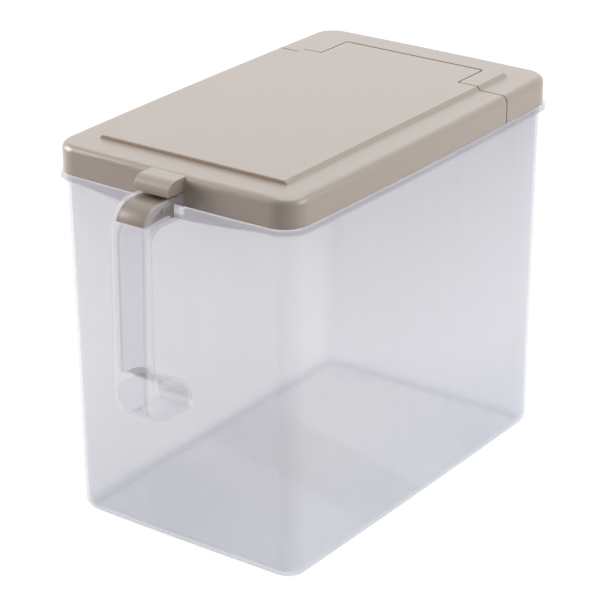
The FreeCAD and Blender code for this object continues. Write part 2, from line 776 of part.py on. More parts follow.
def make_front_flap(doc, size, at):
    """Front part of the lid, with its tongue, trunnions, ribs and thumb tab."""
    body = doc.addObject("PartDesign::Body", "front_flap")
    make_lid_shell(body, size, at, with_tab=True)
    far = at.lid.half_width + at.overrun
    rear = at.lid.half_depth + at.overrun
    tongue = at.tongue_half
    radius = size.tongue_corner_radius
    corners = [
        (-far, at.split_front),
        (-tongue, at.split_front),
        (-tongue, at.tongue_tip, radius),
        (tongue, at.tongue_tip, radius),
        (tongue, at.split_front),
        (far, at.split_front),
        (far, rear),
        (-far, rear),
    ]
    low = at.skirt_low - at.overrun
    sketch = profile_sketch(body, "tongue_outline", "XY_Plane", corners, low)
    extrude(body, "Pocket", "split", sketch, backwards=True)

    high = size.lid_height + size.panel_front_rise
    rib_low = at.plate_low - size.flap_rib_depth
    hinge_corners = hinge_plate_corners(size, at)
    ribs = (
        ("inner_rib", size.inner_rib_offset, size.inner_rib_length, size.inner_rib_margin),
        ("outer_rib", size.outer_rib_offset, size.outer_rib_length, size.outer_rib_margin),
    )
    pin_length = size.hinge_rib_wall + size.tongue_side_gap + size.lug_wall - size.pin_end_gap
    for side in LEFT_AND_RIGHT:
        word = side_name(side)
        for name, offset, length, margin in ribs:
            end = at.tongue_tip - margin
            corners = box_corners(end - length, end, rib_low, high)
            face = offset + size.flap_rib_wall / TWO
            side_plate(body, f"{name}_{word}", corners, face, size.flap_rib_wall, side, False)
        wall = size.hinge_rib_wall
        side_plate(body, f"hinge_rib_{word}", hinge_corners, tongue, wall, side, False)
        face = tongue - size.hinge_rib_wall
        offset = face if side > 0 else -face
        sketch = circle_sketch(
            body, f"trunnion_circle_{word}", at.hinge_y, at.hinge_z, size.hinge_pin_radius, offset
        )
        extrude(body, "Pad", f"trunnion_{word}", sketch, pin_length, backwards=side < 0)

    hollow_tab(body, size, at)
    return body


def hollow_tab(body, size, at):
    """The tab's hollow underside, with the two ribs that the lever's nose pushes."""
    below = at.skirt_low
    ceiling = at.tab_top - size.tab_wall
    corners = [
        (at.front, below),
        (at.front, ceiling),
        (at.tab_front + size.tab_wall, ceiling, size.tab_nose_radius - size.tab_wall),
        (at.tab_front + size.tab_wall, below),
    ]
    sketch = profile_sketch(body, "tab_hollow_profile", "YZ_Plane", corners)
    width = size.tab_width - size.tab_wall * TWO
    extrude(body, "Pocket", "tab_hollow", sketch, width, symmetric=True)
    corners = [
        (at.tab_front + size.tab_wall / TWO, at.tab_low),
        (at.front + size.lid_wall / TWO, at.tab_low),
        (at.front + size.lid_wall / TWO, ceiling + size.tab_wall / TWO),
        (at.tab_front + size.tab_nose_radius, ceiling + size.tab_wall / TWO),
        (at.tab_front + size.tab_wall / TWO, at.tab_low + size.tab_wall),
    ]
    for side in LEFT_AND_RIGHT:
        face = size.strike_rib_offset + size.strike_rib_wall / TWO
        name = f"strike_rib_{side_name(side)}"
        side_plate(body, name, corners, face, size.strike_rib_wall, side, False)


def make_rear_cover(doc, size, at):
    """Rear part of the lid, with the notch for the tongue and the two hinge lugs."""
    body = doc.addObject("PartDesign::Body", "rear_cover")
    make_lid_shell(body, size, at, with_tab=False)
    far = at.lid.half_width + at.overrun
    front = at.front - at.overrun
    notch = at.notch_half
    radius = size.notch_corner_radius
    corners = [
        (-far, front),
        (far, front),
        (far, at.split_rear),
        (notch, at.split_rear),
        (notch, at.notch_rear, radius),
        (-notch, at.notch_rear, radius),
        (-notch, at.split_rear),
        (-far, at.split_rear),
    ]
    low = at.skirt_low - at.overrun
    sketch = profile_sketch(body, "notch_outline", "XY_Plane", corners, low)
    extrude(body, "Pocket", "split", sketch, backwards=True)

    hinge_corners = hinge_plate_corners(size, at)
    for side in LEFT_AND_RIGHT:
        name = f"lug_{side_name(side)}"
        side_plate(body, name, hinge_corners, notch, size.lug_wall, side, True)
    radius = size.hinge_pin_radius + size.pin_clearance
    sketch = circle_sketch(body, "lug_hole_circle", at.hinge_y, at.hinge_z, radius)
    reach = notch + size.lug_wall * TWO
    extrude(body, "Pocket", "lug_holes", sketch, reach * TWO, symmetric=True)
    return body


def make_thumb_lever(doc, size, at):
    """Rocking insert in the handle's top, with side webs, a heel and two trunnions."""
    body = doc.addObject("PartDesign::Body", "thumb_lever")
    nose = at.front - size.lever_nose_reach
    brow = at.front - size.handle_reach + size.lever_brow_setback
    lip = at.front - size.handle_reach + size.lever_lip_setback
    wall = size.lever_wall
    web_low = at.pivot_z - size.lever_web_depth
    heel_low = at.tray_floor + size.lever_heel_gap
    heel_rear = at.pivot_y + size.lever_pivot_reach * HALF + wall
    heel_front = heel_rear - size.lever_heel_length
    lip_inner = lip + wall * LEVER_LIP_SHARE
    corners = [
        (nose, at.lever_top),
        (brow, at.lever_top, size.lever_brow_radius),
        (lip, at.lever_lip),
        (lip_inner, at.lever_lip),
        (at.pivot_y - size.lever_web_depth, web_low),
        (heel_front, web_low),
        (heel_front, heel_low),
        (heel_rear, heel_low),
        (heel_rear, at.pivot_z + wall * HALF),
        (nose, at.lever_top - wall),
    ]
    sketch = profile_sketch(body, "lever_profile", "YZ_Plane", corners)
    extrude(body, "Pad", "lever_block", sketch, at.lever_half * TWO, symmetric=True)
    beside = beside_middle(at.lever_half)

    def upper_edge(edge):
        box = edge.BoundBox
        return beside(edge) and near(box.ZMax, at.lever_top.number)

    round_edges(body, "lever_rounding", size.lever_edge_radius, upper_edge)
    sketch = circle_sketch(body, "pin_circle", at.pivot_y, at.pivot_z, size.lever_pin_radius)
    reach = at.lever_half + size.lever_pin_length
    extrude(body, "Pad", "lever_pins", sketch, reach * TWO, symmetric=True)

    below = heel_low - at.overrun
    inner_brow = brow + wall * LEVER_BROW_SHARE
    corners = [
        (nose + at.overrun, below),
        (nose + at.overrun, at.lever_top - wall),
        (inner_brow, at.lever_top - wall, size.lever_brow_radius - wall),
        (lip_inner, at.lever_lip),
        (lip_inner, below),
    ]
    sketch = profile_sketch(body, "lever_hollow_profile", "YZ_Plane", corners)
    width = (at.lever_half - wall) * TWO
    extrude(body, "Pocket", "lever_hollow", sketch, width, symmetric=True)
    return body


def faults(doc):
    """Names of objects that failed, and of bodies without a sound solid."""
    bad = [item.Name for item in doc.Objects if {"Invalid", "Error"} & set(item.State)]
    for item in doc.Objects:
        if item.isDerivedFrom("PartDesign::Body"):
            if item.Shape.isNull() or not item.Shape.isValid() or len(item.Shape.Solids) != 1:
                bad.append(f"{item.Name} shape")
    return bad


def main():
    """Builds the four pieces and writes one file for each."""
    doc = FreeCAD.newDocument("storage_container")
    sheet = doc.addObject("Spreadsheet::Sheet", "Sizes")
    size = SizeBook(sheet)
    doc.recompute()
    at = Places(size)
    makers = (make_container, make_rear_cover, make_front_flap, make_thumb_lever)
    bodies = [maker(doc, size, at) for maker in makers]
    doc.recompute()
    bad = faults(doc)
    if bad:
        raise RuntimeError("failed: " + ", ".join(bad))
    os.makedirs("parts", exist_ok=True)
    for body in bodies:
        body.Label = body.Name
        body.Shape.exportStep(os.path.join("parts", body.Label + ".step"))
        box = body.Shape.BoundBox
        print(body.Label, f"{body.Shape.Volume:.1f}", [round(value, 2) for value in (
            box.XMin, box.XMax, box.YMin, box.YMax, box.ZMin, box.ZMax)])


main()
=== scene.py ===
"""Looks of a tall translucent storage container with a hinged flap lid and a loop handle."""

import logging
import math
from dataclasses import dataclass, field
from enum import Enum
from typing import Any, Mapping, Optional, Sequence, Union

import bmesh
import bpy
from mathutils import Matrix, Vector

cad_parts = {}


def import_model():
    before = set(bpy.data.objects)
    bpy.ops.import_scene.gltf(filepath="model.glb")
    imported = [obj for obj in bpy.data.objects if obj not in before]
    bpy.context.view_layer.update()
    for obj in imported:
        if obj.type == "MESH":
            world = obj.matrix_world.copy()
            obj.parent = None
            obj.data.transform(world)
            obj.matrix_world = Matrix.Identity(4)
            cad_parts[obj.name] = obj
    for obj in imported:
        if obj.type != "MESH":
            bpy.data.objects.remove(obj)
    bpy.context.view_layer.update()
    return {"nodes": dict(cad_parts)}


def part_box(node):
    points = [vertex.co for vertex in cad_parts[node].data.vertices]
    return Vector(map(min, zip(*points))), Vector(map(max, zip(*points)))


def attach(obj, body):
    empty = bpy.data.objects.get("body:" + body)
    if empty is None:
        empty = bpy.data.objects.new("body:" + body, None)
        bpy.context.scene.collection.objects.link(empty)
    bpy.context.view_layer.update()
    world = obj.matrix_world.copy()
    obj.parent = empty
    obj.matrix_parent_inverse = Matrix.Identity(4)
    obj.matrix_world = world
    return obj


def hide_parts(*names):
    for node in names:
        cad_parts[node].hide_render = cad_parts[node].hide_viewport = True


SCREEN_STEPS = 255
SCREEN_KNEE = 0.04045
SCREEN_SLOPE = 12.92
SCREEN_OFFSET = 0.055
SCREEN_POWER = 2.4
MIX_COLOUR_INPUTS = (6, 7)
MIX_COLOUR_OUTPUT = 2
NOISE_ROUGHNESS = 0.5
NOISE_MIDDLE = 0.5
LOG = logging.getLogger("storage_container")

Colour = tuple[float, float, float]
Value = Union[float, int, "Wire"]


def linear(red: int, green: int, blue: int) -> Colour:
    """Turns a colour as a screen shows it into the light values that shaders take.

    Args:
        red: Red part, 0 to 255.
        green: Green part, 0 to 255.
        blue: Blue part, 0 to 255.

    Returns:
        The three parts as linear light, 0 to 1.
    """
    parts = []
    for level in (red, green, blue):
        share = level / SCREEN_STEPS
        if share <= SCREEN_KNEE:
            parts.append(share / SCREEN_SLOPE)
        else:
            parts.append(((share + SCREEN_OFFSET) / (1 + SCREEN_OFFSET)) ** SCREEN_POWER)
    return (parts[0], parts[1], parts[2])


class Wire:
    """An output socket of a shader tree, whose arithmetic adds Math nodes."""

    def __init__(self, board: "Board", socket: bpy.types.NodeSocket) -> None:
        """Keeps the socket and the board that new nodes go on.

        Args:
            board: The material's board.
            socket: The output that this wire starts from.
        """
        self.board = board
        self.socket = socket

    def _math(self, operation: str, left: Value, right: Value) -> "Wire":
        """Adds one Math node.

        Args:
            operation: The node's operation.
            left: First value.
            right: Second value.

        Returns:
            The node's result.
        """
        return self.board.out("ShaderNodeMath", {"operation": operation}, {0: left, 1: right})

    def __add__(self, other: Value) -> "Wire":
        """This value plus another."""
        return self._math("ADD", self, other)

    __radd__ = __add__

    def __sub__(self, other: Value) -> "Wire":
        """This value minus another."""
        return self._math("SUBTRACT", self, other)

    def __rsub__(self, other: Value) -> "Wire":
        """Another value minus this one."""
        return self._math("SUBTRACT", other, self)

    def __mul__(self, other: Value) -> "Wire":
        """This value times another."""
        return self._math("MULTIPLY", self, other)

    __rmul__ = __mul__

    def __pow__(self, other: Value) -> "Wire":
        """This value raised to a power."""
        return self._math("POWER", self, other)

    def __abs__(self) -> "Wire":
        """This value without its sign."""
        return self._math("ABSOLUTE", self, 0.0)

    def most(self, other: Value) -> "Wire":
        """The larger of this value and another."""
        return self._math("MAXIMUM", self, other)

    def least(self, other: Value) -> "Wire":
        """The smaller of this value and another."""
        return self._math("MINIMUM", self, other)

    def fade(self, start: float, end: float) -> "Wire":
        """A smooth step from 0 at start to 1 at end.

        Args:
            start: Value where the step begins.
            end: Value where it is complete; it may be below start.

        Returns:
            The step, between 0 and 1.
        """
        settings = {"interpolation_type": "SMOOTHSTEP"}
        return self.board.out("ShaderNodeMapRange", settings, {0: self, 1: start, 2: end})


class Board:
    """A node tree, on which nodes are placed by one method."""

    def __init__(self, owner: Any, tree: bpy.types.NodeTree) -> None:
        """Empties the tree.

        Args:
            owner: What the tree belongs to.
            tree: The tree.
        """
        self.owner = owner
        self.tree = tree
        self.tree.nodes.clear()

    def node(
        self,
        kind: str,
        settings: Optional[Mapping[str, Any]] = None,
        inputs: Optional[Mapping[Union[int, str], Any]] = None,
    ) -> bpy.types.Node:
        """Places one node.

        Args:
            kind: The node's type.
            settings: Its own settings, which are set first.
            inputs: Values or wires for its sockets, by name or number.

        Returns:
            The node.
        """
        made = self.tree.nodes.new(kind)
        for name, value in (settings or {}).items():
            setattr(made, name, value)
        for key, value in (inputs or {}).items():
            if isinstance(value, Wire):
                self.tree.links.new(value.socket, made.inputs[key])
            else:
                made.inputs[key].default_value = value
        return made

    def out(
        self,
        kind: str,
        settings: Optional[Mapping[str, Any]] = None,
        inputs: Optional[Mapping[Union[int, str], Any]] = None,
        output: Union[int, str] = 0,
    ) -> Wire:
        """Places one node and gives one of its outputs.

        Args:
            kind: The node's type.
            settings: Its own settings.
            inputs: Values or wires for its sockets.
            output: Name or number of the output.

        Returns:
            That output.
        """
        return Wire(self, self.node(kind, settings, inputs).outputs[output])


class ShaderBoard(Board):
    """A shader tree of a material or of the surroundings."""

    def __init__(self, owner: Union[bpy.types.Material, bpy.types.World]) -> None:
        """Opens the owner's own tree.

        Args:
            owner: The material or the surroundings.
        """
        owner.use_nodes = True
        super().__init__(owner, owner.node_tree)

    def mix(self, factor: Value, low: Any, high: Any) -> Wire:
        """Blends two colours.

        Args:
            factor: 0 for the first colour, 1 for the second.
            low: First colour or wire.
            high: Second colour or wire.

        Returns:
            The blended colour.
        """
        ends = [(*end, 1.0) if isinstance(end, tuple) else end for end in (low, high)]
        node = self.node("ShaderNodeMix", {"data_type": "RGBA"}, {0: factor})
        for number, end in zip(MIX_COLOUR_INPUTS, ends):
            if isinstance(end, Wire):
                self.tree.links.new(end.socket, node.inputs[number])
            else:
                node.inputs[number].default_value = end
        return Wire(self, node.outputs[MIX_COLOUR_OUTPUT])

    def place(self) -> Wire:
        """The point on the object, in its own coordinates in metres."""
        return self.out("ShaderNodeTexCoord", output="Object")

    def split(self, vector: Wire) -> tuple[Wire, Wire, Wire]:
        """Takes a vector apart.

        Args:
            vector: The vector.

        Returns:
            Its x, y and z.
        """
        node = self.node("ShaderNodeSeparateXYZ", inputs={0: vector})
        return tuple(Wire(self, socket) for socket in node.outputs)

    def noise(self, vector: Wire, grain: float, detail: float = 2.0) -> Wire:
        """Cloudy noise.

        Args:
            vector: Where it is read.
            grain: Size of one cloud, in metres.
            detail: How many finer layers it has.

        Returns:
            The noise, about 0 to 1.
        """
        return self.out("ShaderNodeTexNoise", {"noise_dimensions": "3D"}, {
            "Vector": vector,
            "Scale": 1 / grain,
            "Detail": detail,
            "Roughness": NOISE_ROUGHNESS,
        })

    def stretch(self, vector: Wire, factors: tuple[float, float, float]) -> Wire:
        """Multiplies a vector's three parts.

        Args:
            vector: The vector.
            factors: What each part is multiplied by.

        Returns:
            The product.
        """
        return self.out("ShaderNodeVectorMath", {"operation": "MULTIPLY"}, {0: vector, 1: factors})

    def bump(self, height: Wire, depth: float, normal: Optional[Wire] = None) -> Wire:
        """Surface relief.

        Args:
            height: The relief, about 0 to 1.
            depth: Its depth in metres.
            normal: A finer relief that lies on this one.

        Returns:
            The bent normal.
        """
        inputs = {"Distance": depth, "Height": height}
        if normal is not None:
            inputs["Normal"] = normal
        return self.out("ShaderNodeBump", inputs=inputs)

    def blend(self, share: Value, first: bpy.types.Node, second: bpy.types.Node) -> bpy.types.Node:
        """Blends two shaders.

        Args:
            share: 0 for the first shader, 1 for the second.
            first: First shader.
            second: Second shader.

        Returns:
            The blend.
        """
        ends = (Wire(self, first.outputs[0]), Wire(self, second.outputs[0]))
        return self.node("ShaderNodeMixShader", inputs={0: share, 1: ends[0], 2: ends[1]})

    def finish(self, shader: bpy.types.Node, kind: str = "ShaderNodeOutputMaterial") -> Any:
        """Ends the tree in its output.

        Args:
            shader: The last shader.
            kind: Type of the output node.

        Returns:
            The finished material, or the surroundings.
        """
        self.node(kind, inputs={"Surface": Wire(self, shader.outputs[0])})
        return self.owner


class ShapeBoard(Board):
    """A Geometry Nodes tree with named inputs, which turns a mesh into another."""

    def __init__(self, name: str) -> None:
        """Makes the tree with its geometry input and output.

        Args:
            name: Name of the tree.
        """
        tree = bpy.data.node_groups.new(name, "GeometryNodeTree")
        super().__init__(tree, tree)
        for way in ("INPUT", "OUTPUT"):
            tree.interface.new_socket("Geometry", in_out=way, socket_type="NodeSocketGeometry")
        self.values: dict[str, Any] = {}

    def given(self, name: str, value: Any, kind: str = "NodeSocketFloat") -> None:
        """Adds a named input.

        Args:
            name: Name of the input.
            value: What it is set to.
            kind: Type of its socket.
        """
        socket = self.tree.interface.new_socket(name, in_out="INPUT", socket_type=kind)
        self.values[socket.identifier] = value

    def start(self) -> bpy.types.Node:
        """The node that hands out the inputs."""
        return self.node("NodeGroupInput")

    def end(self, geometry: Wire, material: Wire) -> None:
        """Makes instances real, sets the finish and ends the tree.

        Args:
            geometry: The finished shape.
            material: The finish.
        """
        real = self.out("GeometryNodeRealizeInstances", inputs={0: geometry})
        dressed = self.out("GeometryNodeSetMaterial", inputs={0: real, "Material": material})
        self.node("NodeGroupOutput", inputs={0: dressed})

    def run(self, base: bpy.types.Mesh, name: str) -> bpy.types.Mesh:
        """Runs the tree on a mesh and gives the result as a plain mesh.

        Args:
            base: What the tree starts from.
            name: Name of the result.

        Returns:
            The result.
        """
        carrier = bpy.data.objects.new(name, base)
        bpy.context.scene.collection.objects.link(carrier)
        modifier = carrier.modifiers.new(name, "NODES")
        modifier.node_group = self.tree
        for identifier, value in self.values.items():
            modifier[identifier] = value
        graph = bpy.context.evaluated_depsgraph_get()
        made = bpy.data.meshes.new_from_object(carrier.evaluated_get(graph))
        made.name = name
        carrier.modifiers.remove(modifier)
        bpy.data.objects.remove(carrier)
        return made


@dataclass(frozen=True)
class MilkyShell:
    """Natural polypropylene of the container: milky, faintly blue and see-through, with painted
    shade towards the floor, a painted light line above the floor, a painted lighter grip front and
    painted darker handle sides.
    """

    name: str = "translucent_body"
    colour: Colour = linear(222, 220, 223)
    # painted shade: the floor zone is painted a darker blue-grey, for the shadowed table that
    # shows through the floor
    floor_shade_colour: Colour = linear(164, 206, 220)
    # painted light: a near-white band just above the floor, for the light line along the floor's
    # edge
    floor_edge_light_colour: Colour = linear(250, 250, 253)
    # painted light: the grip's front is painted near white, for the light that falls on it from
    # the front
    grip_front_light_colour: Colour = linear(253, 253, 255)
    # painted shade: the handle's sides are painted darker than the rest of the plastic
    cheek_shade_colour: Colour = linear(196, 198, 206)
    clear_tint: Colour = (0.99, 0.99, 0.997)
    glow_share: float = 0.76
    face_glow_loss: float = 0.85
    milk: float = 0.34
    foot_milk: float = 0.17
    heel_milk: float = 0.03
    face_milk: float = 0.07
    cheek_milk: float = 0.31
    cheek_inside: float = 0.0112
    cheek_outside: float = 0.0126
    foot_height: float = 0.0045
    foot_end: float = 0.0027
    # painted shade on the low walls: a bluer colour and less glow towards the floor
    low_height: float = 0.11
    low_shade: float = 0.5
    low_glow_loss: float = 0.10
    heel_height: float = 0.012
    heel_end: float = 0.0063
    wall_front: float = -0.1515
    wall_blend: float = 0.002
    core_front: float = -0.1867
    core_front_blend: float = 0.0005
    core_rear: float = -0.1835
    core_rear_blend: float = 0.0006
    core_half: float = 0.0108
    core_half_blend: float = 0.0004
    core_lean: float = 0.0124
    core_top: float = 0.234
    core_top_blend: float = 0.002
    core_clearness: float = 0.97
    refraction: float = 1.45
    roughness: float = 0.42
    roughness_change: float = 0.08
    gloss: float = 0.3
    cloud: float = 0.07
    cloud_detail: float = 3.0
    streaks: tuple[float, float, float] = (90.0, 90.0, 4.0)
    # how far the painted shade pulls the wall colour towards the floor's shade colour
    shade_depth: float = 0.9
    mottle_depth: float = 0.07
    mottle_milk: float = 0.02
    grain: float = 0.0006
    grain_detail: float = 1.0
    grain_depth: float = 0.00001

    def core(self, across: Wire, along: Wire, height: Wire) -> Wire:
        """The faces of the slot inside the grip, where the plastic looks clearer.

        Args:
            across: Place from left to right.
            along: Place from front to rear.
            height: Place above the table.

        Returns:
            1 on those faces, 0 elsewhere.
        """
        upright = along + (self.core_top - height) * self.core_lean
        front_edge = self.core_front - self.core_front_blend
        rear_edge = self.core_rear + self.core_rear_blend
        side_edge = self.core_half + self.core_half_blend
        front = upright.fade(front_edge - self.core_front_blend, front_edge)
        rear = upright.fade(rear_edge + self.core_rear_blend, rear_edge)
        sides = abs(across).fade(side_edge + self.core_half_blend, side_edge)
        top = height.fade(self.core_top, self.core_top - self.core_top_blend)
        return front * rear * sides * top

    def make(self) -> bpy.types.Material:
        """Builds the material.

        Returns:
            The material.
        """
        board = ShaderBoard(bpy.data.materials.new(self.name))
        place = board.place()
        across, along, height = board.split(place)
        cloud = board.noise(place, self.cloud, self.cloud_detail)
        streaks = board.noise(board.stretch(place, self.streaks), 1.0)
        # painted shade: the floor zone
        foot = height.fade(self.foot_height, self.foot_end)
        # painted light: the band just above the floor zone
        heel = height.fade(self.heel_height, self.heel_end) * (1.0 - foot)
        handle = along.fade(self.wall_front, self.wall_front - self.wall_blend)
        cheek = abs(across).fade(self.cheek_inside, self.cheek_outside)
        # face: the grip's front, which carries the painted light
        face = handle * (1.0 - cheek)
        mottle = cloud + streaks - 2 * NOISE_MIDDLE
        # painted shade: the walls get darker and bluer towards the floor
        low = height.fade(self.low_height, 0.0)
        shade_mask = foot.most(low * self.low_shade)
        # this colour ramp carries the painted shade towards the floor and the random mottle of the
        # plastic
        depth = (shade_mask * self.shade_depth + mottle * self.mottle_depth).most(0.0).least(1.0)
        # painted light line above the floor
        floor_edge_light_colour = board.mix(heel, self.colour, self.floor_edge_light_colour)
        wall_colour = board.mix(depth, floor_edge_light_colour, self.floor_shade_colour)
        # painted shade on the handle's sides
        side_colour = board.mix(handle * cheek, wall_colour, self.cheek_shade_colour)
        grain = board.noise(place, self.grain, self.grain_detail)
        # Base Color carries the painted light on the grip's front, the painted shade on the
        # handle's sides and towards the floor, and the painted light line above the floor
        skin = board.node("ShaderNodeBsdfPrincipled", inputs={
            "Base Color": board.mix(face, side_colour, self.grip_front_light_colour),
            "Roughness": self.roughness + (cloud - NOISE_MIDDLE) * self.roughness_change,
            "IOR": self.refraction,
            "Specular IOR Level": self.gloss,
            "Normal": board.bump(grain, self.grain_depth),
        })
        glow = board.node("ShaderNodeBsdfTranslucent", inputs={"Color": (*self.colour, 1.0)})
        clear = board.node("ShaderNodeBsdfTransparent", inputs={"Color": (*self.clear_tint, 1.0)})
        base_milk = self.milk + foot * self.foot_milk + heel * self.heel_milk
        wall_milk = base_milk + mottle * self.mottle_milk
        core = self.core(across, along, height)
        handle_milk = cheek * (self.cheek_milk - self.face_milk) + self.face_milk
        outer_milk = wall_milk + handle * (handle_milk - wall_milk)
        milk = outer_milk * (1.0 - core * self.core_clearness)
        # painted shade: less glow towards the floor. The grip's front glows less too, which makes
        # it lighter: painted light.
        glow_loss = (face * self.face_glow_loss).most(low * self.low_glow_loss)
        glow_share = self.glow_share - glow_loss * self.glow_share
        milky = board.blend(glow_share, skin, glow)
        return board.finish(board.blend(milk, clear, milky))


@dataclass(frozen=True)
class SatinGreige:
    """Opaque grey-beige plastic with a satin sheen and a fine moulded grain.

    Each sink line is given by its distance from the middle, its front end and its rear end.
    """

    name: str
    colour: Colour = linear(165, 148, 133)
    pale_colour: Colour = linear(168, 152, 138)
    roughness: float = 0.36
    roughness_change: float = 0.08
    refraction: float = 1.5
    coat: float = 0.9
    coat_roughness: float = 0.30
    cloud: float = 0.05
    cloud_detail: float = 3.0
    grain: float = 0.0005
    grain_detail: float = 1.0
    grain_depth: float = 0.000012
    sink_lines: tuple[tuple[float, float, float], ...] = ()
    sink_half: float = 0.0014
    sink_blend: float = 0.004
    sink_depth: float = 0.00003

    def sinks(self, board: ShaderBoard, place: Wire) -> Value:
        """Faint hollows over the ribs of the underside.

        Args:
            board: The material's board.
            place: The point on the object.

        Returns:
            How hollow the surface is, 0 to 1.
        """
        across, along, _ = board.split(place)
        hollow: Value = 0.0
        for offset, front, rear in self.sink_lines:
            line = abs(abs(across) - offset).fade(self.sink_half, 0.0)
            start = along.fade(front - self.sink_blend, front)
            end = along.fade(rear + self.sink_blend, rear)
            hollow = line * (start * end) + hollow
        return hollow

    def make(self) -> bpy.types.Material:
        """Builds the material.

        Returns:
            The material.
        """
        board = ShaderBoard(bpy.data.materials.new(self.name))
        place = board.place()
        cloud = board.noise(place, self.cloud, self.cloud_detail)
        grain = board.noise(place, self.grain, self.grain_detail)
        normal = board.bump(grain, self.grain_depth)
        if self.sink_lines:
            normal = board.bump(1.0 - self.sinks(board, place), self.sink_depth, normal)
        shader = board.node("ShaderNodeBsdfPrincipled", inputs={
            "Base Color": board.mix(cloud, self.colour, self.pale_colour),
            "Roughness": self.roughness + (cloud - NOISE_MIDDLE) * self.roughness_change,
            "IOR": self.refraction,
            "Coat Weight": self.coat,
            "Coat Roughness": self.coat_roughness,
            "Normal": normal,
        })
        return board.finish(shader)


class Finish(Enum):
    """The finishes of the container's pieces."""

    BODY = MilkyShell()
    COVER = SatinGreige("greige_lid")
    FLAP = SatinGreige(
        "greige_flap",
        sink_lines=((0.026, 0.067, 0.109), (0.049, 0.069, 0.101)),
    )
    # painted shade: the lever gets a darker copy of the lid's greige, for the shade it sits in
    # between the handle's cheeks
    LEVER = SatinGreige(
        "greige_lever",
        colour=linear(140, 124, 109),
        pale_colour=linear(144, 129, 115),
    )


def add_ring(shape: bmesh.types.BMesh, points: Sequence[Vector]) -> list[bmesh.types.BMVert]:
    """Adds a ring of corners to a shape.

    Args:
        shape: The shape.
        points: Where the corners are.

    Returns:
        The corners.
    """
    return [shape.verts.new(point) for point in points]


def join_rings(shape: bmesh.types.BMesh, rings: Sequence[list[bmesh.types.BMVert]]) -> None:
    """Skins a row of rings and closes both ends.

    Args:
        shape: The shape.
        rings: Rings with equally many corners, in order.
    """
    for near, far in zip(rings, rings[1:]):
        for index in range(len(near)):
            after = (index + 1) % len(near)
            shape.faces.new((near[index], near[after], far[after], far[index]))
    shape.faces.new(list(reversed(rings[0])))
    shape.faces.new(rings[-1])


@dataclass
class Moulding:
    """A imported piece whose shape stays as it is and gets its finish."""

    node: str
    finish: Finish

    def build(self, nodes: Mapping[str, bpy.types.Object]) -> bpy.types.Object:
        """Dresses the piece.

        Args:
            nodes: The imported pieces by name.

        Returns:
            The piece.
        """
        piece = nodes[self.node]
        material = self.finish.value.make()
        for slot in piece.material_slots:
            slot.material = material
        return piece


@dataclass
class Container(Moulding):
    """The see-through bin with its rim flange and loop handle."""

    node: str = "container"
    finish: Finish = Finish.BODY


@dataclass
class RearCover(Moulding):
    """The rear part of the lid, which carries the hinge."""

    node: str = "rear_cover"
    finish: Finish = Finish.COVER


@dataclass
class FrontFlap(Moulding):
    """The front part of the lid, with its tongue and thumb tab."""

    node: str = "front_flap"
    finish: Finish = Finish.FLAP


